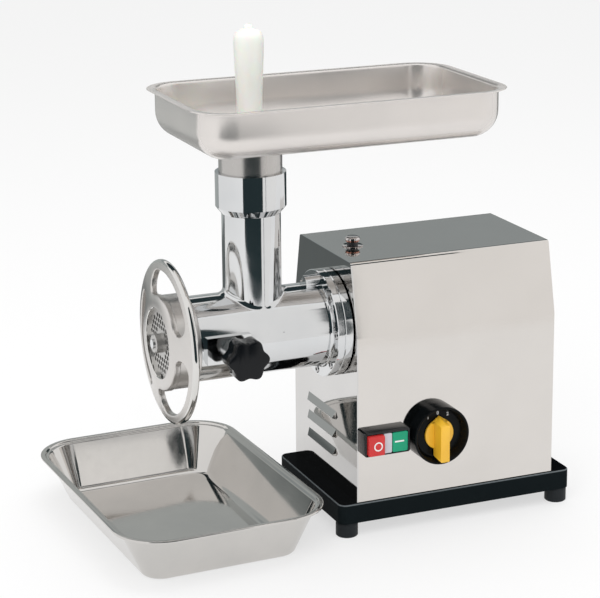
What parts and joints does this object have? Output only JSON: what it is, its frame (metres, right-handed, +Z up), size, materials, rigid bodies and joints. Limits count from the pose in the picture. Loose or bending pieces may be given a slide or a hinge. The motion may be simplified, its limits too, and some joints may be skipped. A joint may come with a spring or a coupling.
{
  "type": "electric meat grinder",
  "caption": "Bench-top electric meat grinder: steel housing on a black base, geared motor, barrel with worm, knife and plate, ring wheel, feed tray with pusher and catch pan.",
  "frame": {"origin": "middle of the footprint of machine and catch pan, on the floor", "axes": "+X from the ring wheel to the back of the housing, +Z up, -Y is the control side"},
  "size_m": [0.4981, 0.3098, 0.506],
  "materials": {
    "black_moulding": "glossy",
    "rubber": "matt",
    "steel_satin": "satin",
    "steel_mirror": "mirror polished",
    "steel_bright": "polished",
    "fastener": "bright",
    "cast_alloy": "as cast",
    "gear_steel": "machined",
    "motor_paint": "semi gloss",
    "laminations": "matt",
    "copper": "varnished",
    "bronze": "satin",
    "inner_plastic": "matt",
    "white_plastic": "soft gloss",
    "capacitor_white": "matt",
    "red_plastic": "gloss",
    "green_plastic": "gloss",
    "grey_plastic": "gloss",
    "yellow_plastic": "gloss",
    "knob_black": "soft gloss",
    "vent_steel": "plated"
  },
  "bodies": {
    "machine": {"base_plate": "black_moulding", "foot_front_near": "rubber", "foot_front_far": "rubber", "foot_rear_near": "rubber", "foot_rear_far": "rubber", "foot_screws": "fastener", "housing_wrap": "steel_satin", "front_panel": "steel_mirror", "rear_panel": "steel_satin", "rear_panel_screws": "fastener", "housing_screws": "fastener", "vent_plug": "vent_steel", "cable_gland": "inner_plastic", "gearbox_case": "cast_alloy", "gearbox_cover": "cast_alloy", "gearbox_cover_screws": "fastener", "output_bearing_front": "gear_steel", "output_bearing_rear": "gear_steel", "idler_bearings": "gear_steel", "rotor_bearings": "gear_steel", "shaft_seal": "rubber", "motor_frame": "motor_paint", "stator_core": "laminations", "stator_windings": "copper", "motor_rear_bell": "motor_paint", "motor_tie_bolts": "fastener", "motor_cradle": "motor_paint", "run_capacitor": "capacitor_white", "capacitor_clip": "cast_alloy", "head_casting": "steel_bright", "head_bolts": "fastener", "worm_bush": "bronze", "plate_key": "gear_steel", "switch_box": "inner_plastic", "pilot_lens": "grey_plastic", "selector_housing": "knob_black", "selector_cam_block": "inner_plastic"},
    "drive": {"output_shaft": "gear_steel", "output_gear": "gear_steel", "worm": "steel_bright", "knife": "gear_steel"},
    "idler": {"idler_shaft": "gear_steel", "idler_gear": "gear_steel"},
    "rotor": {"rotor_shaft": "gear_steel", "rotor_core": "laminations", "cooling_fan": "inner_plastic"},
    "plate": {"perforated_plate": "gear_steel"},
    "ring": {"ring_wheel": "steel_bright"},
    "knob_collar_body": {"knob_collar": "steel_bright"},
    "knob": {"knob_stud": "fastener", "clamp_knob": "knob_black"},
    "tray": {"feed_tray": "steel_satin", "tray_neck": "steel_satin"},
    "pusher_body": {"pusher": "white_plastic"},
    "pan": {"catch_pan": "steel_bright"},
    "stop": {"stop_button": "red_plastic"},
    "start": {"start_button": "green_plastic"},
    "lever": {"selector_lever": "yellow_plastic"}
  },
  "joints": [
    {"name": "worm_spin", "type": "hinge", "parent": "machine", "child": "drive", "pos_m": [0.01106, -0.046, 0.206], "axis": [1, 0, 0], "continuous": true},
    {"name": "idler_spin", "type": "hinge", "parent": "machine", "child": "idler", "pos_m": [0.04106, -0.02988, 0.14963], "axis": [1, 0, 0], "continuous": true},
    {"name": "motor_spin", "type": "hinge", "parent": "machine", "child": "rotor", "pos_m": [0.11106, -0.017, 0.10456], "axis": [1, 0, 0], "continuous": true},
    {"name": "plate_slide", "type": "slide", "parent": "machine", "child": "plate", "axis": [-1, 0, 0], "range_m": [0, 0.0101]},
    {"name": "ring_turn", "type": "hinge", "parent": "plate", "child": "ring", "pos_m": [-0.15894, -0.046, 0.206], "axis": [-1, 0, 0], "range_deg": [0, 1440]},
    {"name": "knob_travel", "type": "slide", "parent": "machine", "child": "knob_collar_body", "axis": [0, -1, 0], "range_m": [0, 0.003]},
    {"name": "knob_turn", "type": "hinge", "parent": "knob_collar_body", "child": "knob", "pos_m": [-0.11194, -0.126, 0.206], "axis": [0, -1, 0], "range_deg": [0, 722]},
    {"name": "tray_lift", "type": "slide", "parent": "machine", "child": "tray", "axis": [0, 0, 1], "range_m": [0, 0.06]},
    {"name": "pusher_lift", "type": "slide", "parent": "tray", "child": "pusher_body", "axis": [0, 0, 1], "range_m": [0, 0.15]},
    {"name": "pan_slide", "type": "slide", "parent": "machine", "child": "pan", "axis": [-1, 0, 0], "range_m": [0, 0.25]},
    {"name": "stop_press", "type": "slide", "parent": "machine", "child": "stop", "axis": [0, 1, 0], "range_m": [0, 0.003], "stiffness_N_per_m": 900},
    {"name": "start_press", "type": "slide", "parent": "machine", "child": "start", "axis": [0, 1, 0], "range_m": [0, 0.002], "stiffness_N_per_m": 900},
    {"name": "selector_turn", "type": "hinge", "parent": "machine", "child": "lever", "pos_m": [0.09596, -0.1132, 0.0972], "axis": [0, -1, 0], "range_deg": [-30, 30]}
  ],
  "couplings": [
    {"joint": "idler_spin", "follows": "worm_spin", "ratio": -2.9412},
    {"joint": "motor_spin", "follows": "worm_spin", "ratio": 10.035},
    {"joint": "plate_slide", "follows": "ring_turn", "m_per_rad": 0.00039789},
    {"joint": "knob_turn", "follows": "knob_travel", "rad_per_m": 4188.8}
  ]
}
